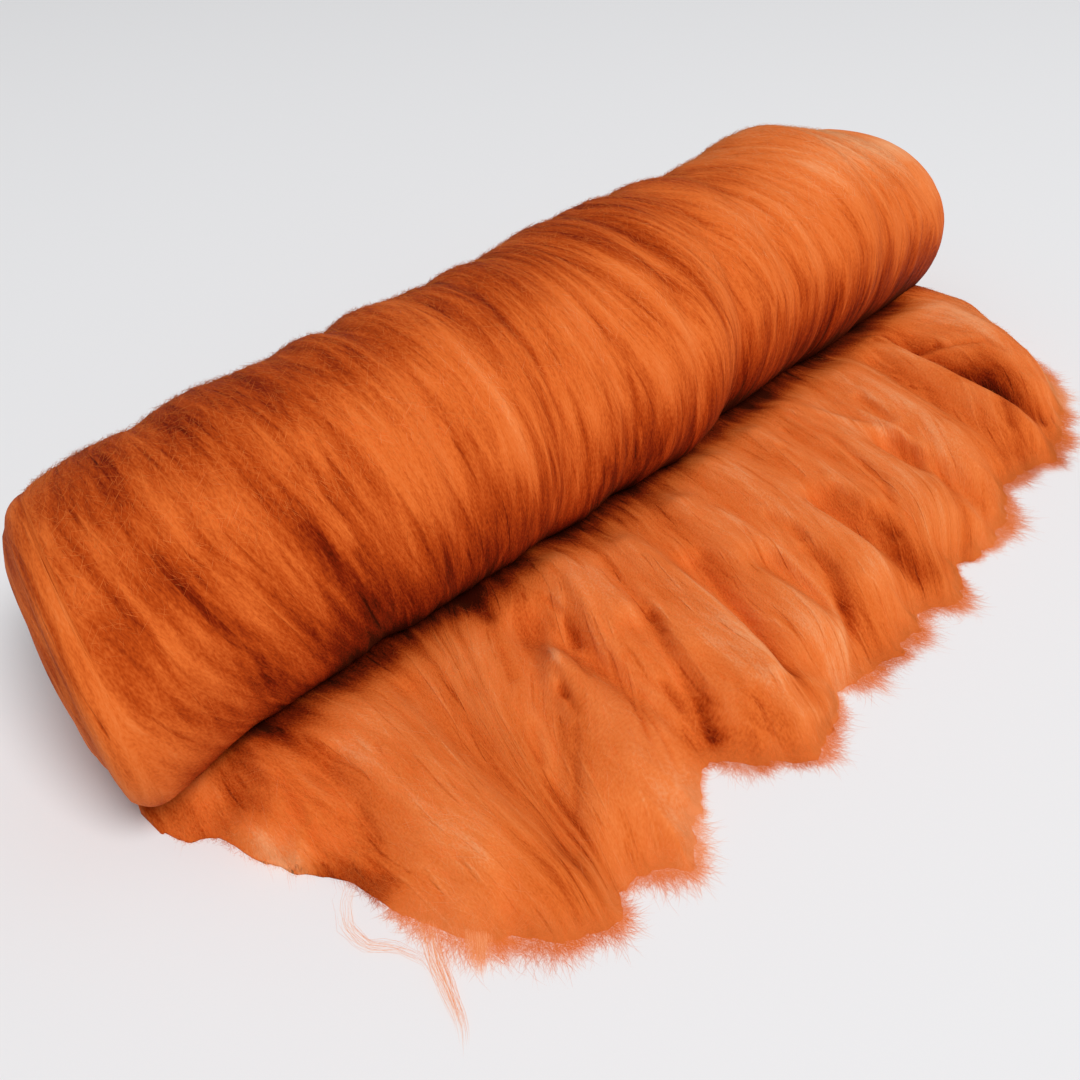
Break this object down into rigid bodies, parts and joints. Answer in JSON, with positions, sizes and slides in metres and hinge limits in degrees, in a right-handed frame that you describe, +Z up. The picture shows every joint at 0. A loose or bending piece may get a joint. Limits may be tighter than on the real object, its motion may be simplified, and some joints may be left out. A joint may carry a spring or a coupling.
{
  "type": "merino wool batt",
  "caption": "Carded wool batt, loosely rolled, its loose end spread in soft folds in front, with ragged locks along the free edge.",
  "frame": {"origin": "on the surface that the batt rests on, under the middle of the roll", "axes": "+Z up, +X along the roll towards its rounded end, -Y towards the loose end that lies in front"},
  "size_m": [0.6953, 0.3372, 0.1448],
  "materials": {
    "wool": "matt combed fibre",
    "wool_edge": "matt loose fibre, thin and paler"
  },
  "bodies": {
    "root": {"batt": "wool", "edge_locks": "wool_edge"}
  },
  "joints": []
}
